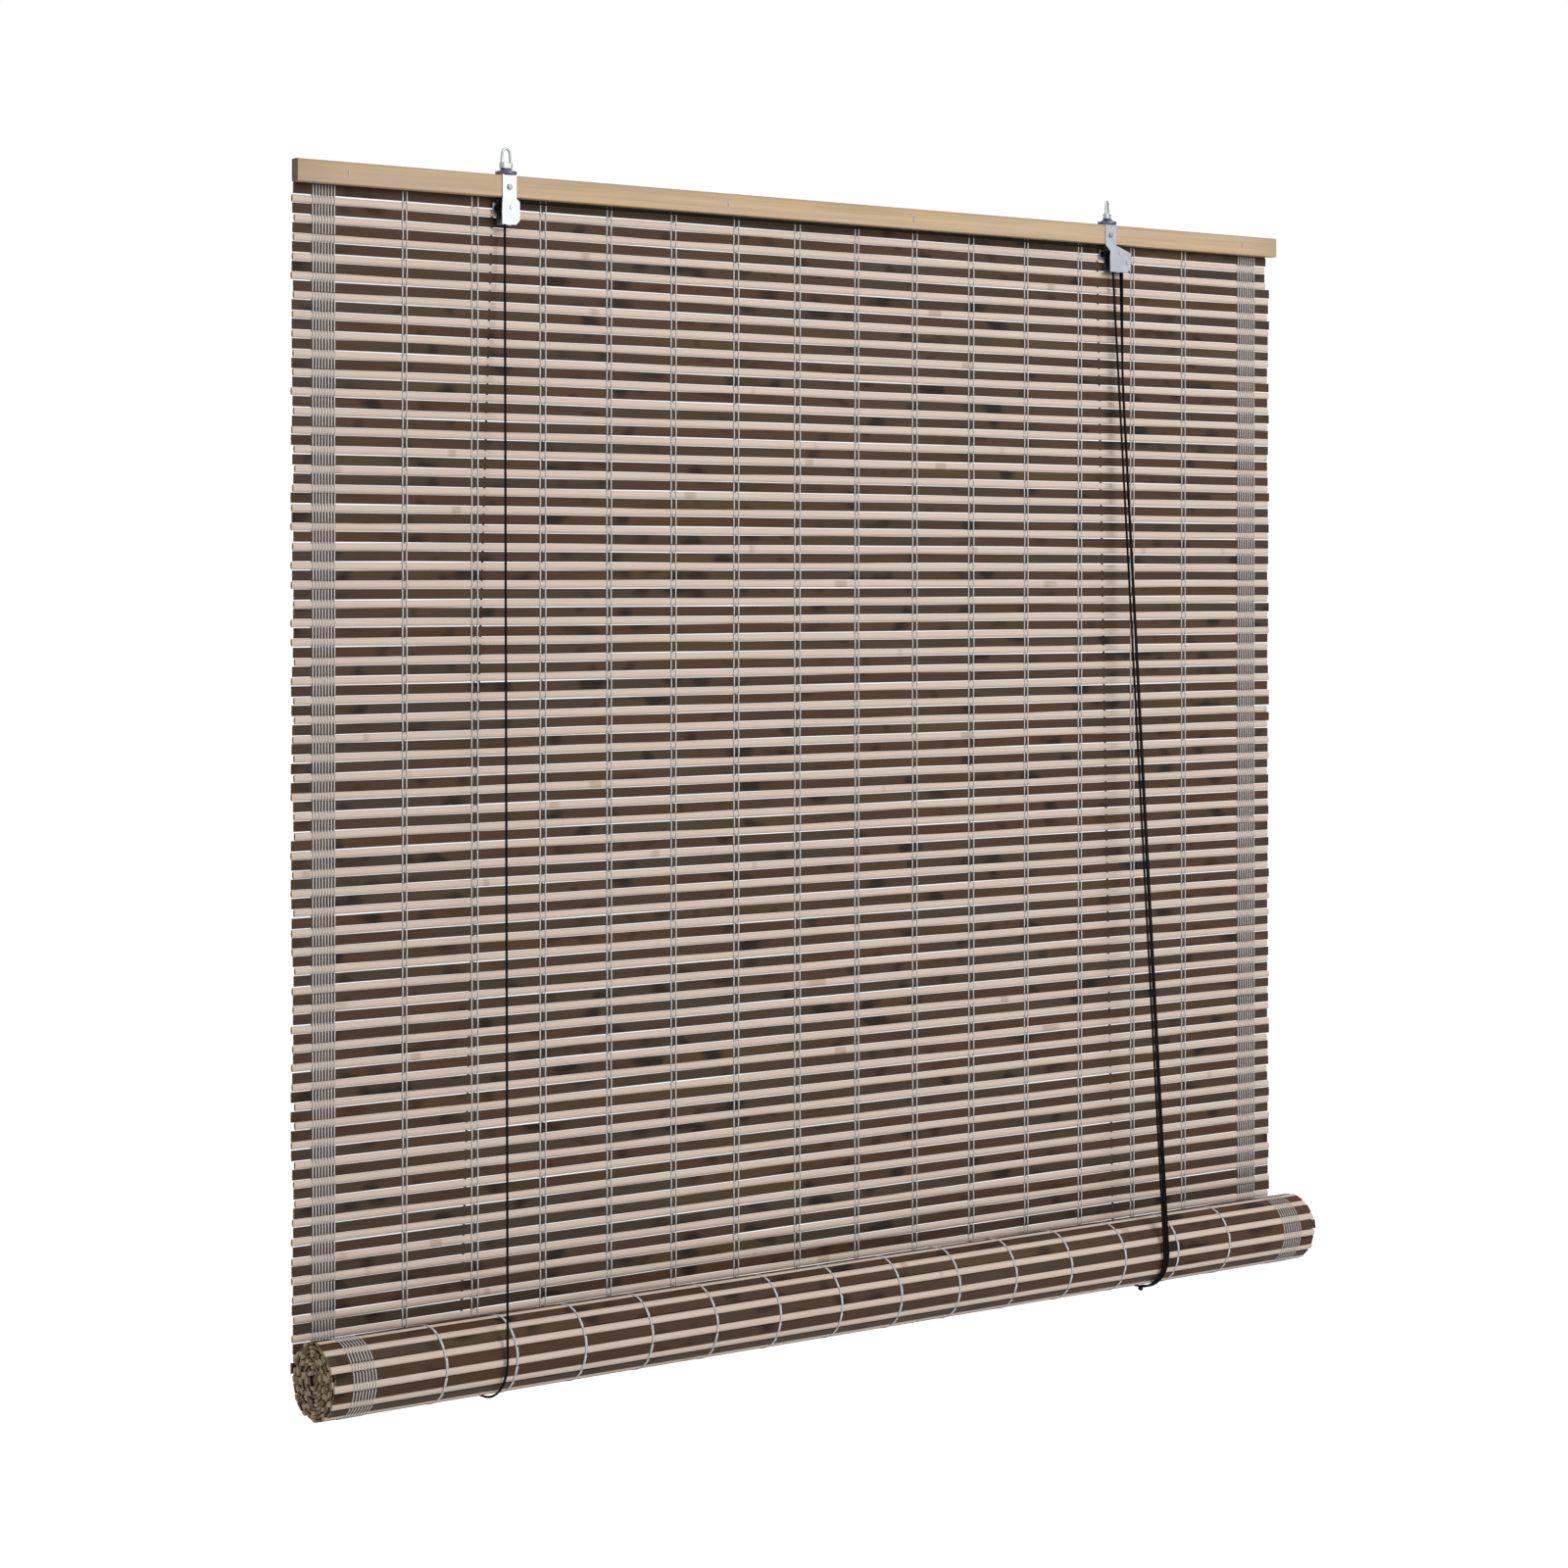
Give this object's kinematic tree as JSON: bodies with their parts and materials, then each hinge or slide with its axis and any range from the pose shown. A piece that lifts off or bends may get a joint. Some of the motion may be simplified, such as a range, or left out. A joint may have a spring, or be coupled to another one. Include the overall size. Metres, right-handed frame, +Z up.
{
  "type": "bamboo roll up blind",
  "caption": "Window blind of dark slats and pale sticks under a wooden rail, rolled up part way in cord slings, hung from swivel eyes.",
  "frame": {"origin": "on the line through the inside tops of the two hanger eyes, where the hooks bear, above the middle of the rail", "axes": "+X along the rail to the right as seen from the front, +Y away from the viewer to the window, +Z up"},
  "size_m": [1.2, 0.0791, 1.1109],
  "materials": {
    "rail_wood": "satin",
    "slat_bamboo": "satin",
    "zinc_steel": "satin",
    "wheel_plastic": "matte",
    "cord_braid": "matte"
  },
  "bodies": {
    "headrail": {"headrail": "rail_wood", "rear_batten": "rail_wood", "rail_staples": "zinc_steel", "slat_mat": "slat_bamboo", "left_strap": "zinc_steel", "right_strap": "zinc_steel", "strap_screws": "zinc_steel", "left_collar": "zinc_steel", "right_collar": "zinc_steel", "left_axle": "zinc_steel", "right_axle": "zinc_steel", "cam_pin": "zinc_steel", "left_lift_cord": "cord_braid", "right_lift_cord": "cord_braid", "first_pull_cord": "cord_braid", "second_pull_cord": "cord_braid", "left_back_cord": "cord_braid", "right_back_cord": "cord_braid", "cross_cord": "cord_braid", "right_turn_cord": "cord_braid", "left_tie_knot": "cord_braid", "right_tie_knot": "cord_braid"},
    "left_eye": {"left_eye": "zinc_steel"},
    "right_eye": {"right_eye": "zinc_steel"},
    "left_wheel": {"left_wheel": "wheel_plastic"},
    "right_wheel": {"right_wheel": "wheel_plastic"},
    "lock_cam": {"lock_cam": "zinc_steel"},
    "cord_sling": {"left_sling": "cord_braid", "right_sling": "cord_braid", "first_pull_end": "cord_braid", "second_pull_end": "cord_braid", "pull_knot": "cord_braid"},
    "roll": {"rolled_mat": "slat_bamboo", "bottom_lath": "rail_wood"}
  },
  "joints": [
    {"name": "left_eye_swivel", "type": "hinge", "parent": "headrail", "child": "left_eye", "pos_m": [-0.382, 0, -0.02], "axis": [0, 0, 1], "continuous": true},
    {"name": "right_eye_swivel", "type": "hinge", "parent": "headrail", "child": "right_eye", "pos_m": [0.3575, 0, -0.02], "axis": [0, 0, 1], "continuous": true},
    {"name": "left_wheel_turn", "type": "hinge", "parent": "headrail", "child": "left_wheel", "pos_m": [-0.3795, -0.001, -0.051], "axis": [0, 1, 0], "continuous": true},
    {"name": "right_wheel_turn", "type": "hinge", "parent": "headrail", "child": "right_wheel", "pos_m": [0.371, -0.001, -0.051], "axis": [0, 1, 0], "continuous": true},
    {"name": "cord_lock_release", "type": "hinge", "parent": "headrail", "child": "lock_cam", "pos_m": [0.381, -0.001, -0.0595], "axis": [0, -1, 0], "range_deg": [0, 30], "stiffness_Nm_per_rad": 0.002, "springref_deg": -17.19},
    {"name": "roll_raise", "type": "slide", "parent": "headrail", "child": "cord_sling", "axis": [0, 0, 1], "range_m": [0, 0.94], "deforming": ["slat_mat", "left_lift_cord", "right_lift_cord", "first_pull_cord", "second_pull_cord", "left_back_cord", "right_back_cord"]},
    {"name": "roll_turn", "type": "hinge", "parent": "cord_sling", "child": "roll", "pos_m": [0, -0.028, -1.0658], "axis": [1, 0, 0], "range_deg": [-1600, 0]}
  ],
  "couplings": [
    {"joint": "roll_turn", "follows": "roll_raise", "rad_per_m": -28.985},
    {"joint": "left_wheel_turn", "follows": "roll_raise", "rad_per_m": 363.64},
    {"joint": "right_wheel_turn", "follows": "roll_raise", "rad_per_m": 363.64}
  ]
}
